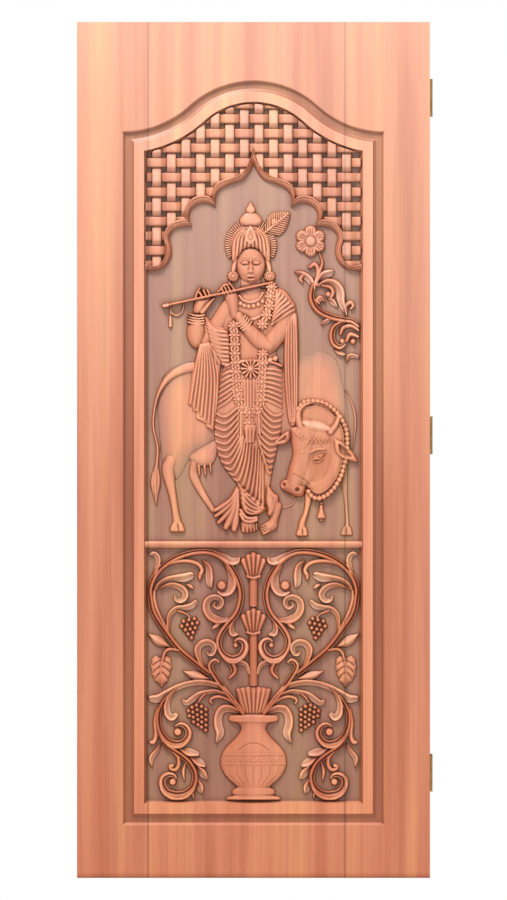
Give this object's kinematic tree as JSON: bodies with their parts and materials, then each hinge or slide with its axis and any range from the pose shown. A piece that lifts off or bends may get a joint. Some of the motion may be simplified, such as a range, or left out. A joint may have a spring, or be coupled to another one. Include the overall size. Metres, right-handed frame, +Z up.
{
  "type": "carved door",
  "caption": "Hinged wooden door leaf: arched frame moulding, basket-weave spandrels, a flute player with a cow carved in relief, and a vase with mirrored scrolls below.",
  "frame": {"origin": "middle of the leaf's bottom edge, half way through its thickness", "axes": "+X to the right as seen from the carved side, +Y through the leaf towards its back, +Z up"},
  "size_m": [0.844, 0.0513, 2.032],
  "materials": {
    "teak": "oiled, with a fine vertical grain",
    "hinge_brass": "brushed and lightly aged"
  },
  "bodies": {
    "post_side": {"bottom_frame_flap": "hinge_brass", "bottom_hinge_pin": "hinge_brass", "middle_frame_flap": "hinge_brass", "middle_hinge_pin": "hinge_brass", "top_frame_flap": "hinge_brass", "top_hinge_pin": "hinge_brass"},
    "leaf": {"left_stile": "teak", "right_stile": "teak", "top_rail": "teak", "bottom_rail": "teak", "dividing_rail": "teak", "upper_panel": "teak", "lower_panel": "teak", "left_moulding": "teak", "right_moulding": "teak", "arch_moulding": "teak", "bottom_moulding": "teak", "bottom_door_flap": "hinge_brass", "middle_door_flap": "hinge_brass", "top_door_flap": "hinge_brass"}
  },
  "joints": [
    {"name": "leaf_swing", "type": "hinge", "parent": "post_side", "child": "leaf", "pos_m": [0.4195, 0.0258, 1.016], "axis": [0, 0, -1], "range_deg": [0, 180]}
  ]
}
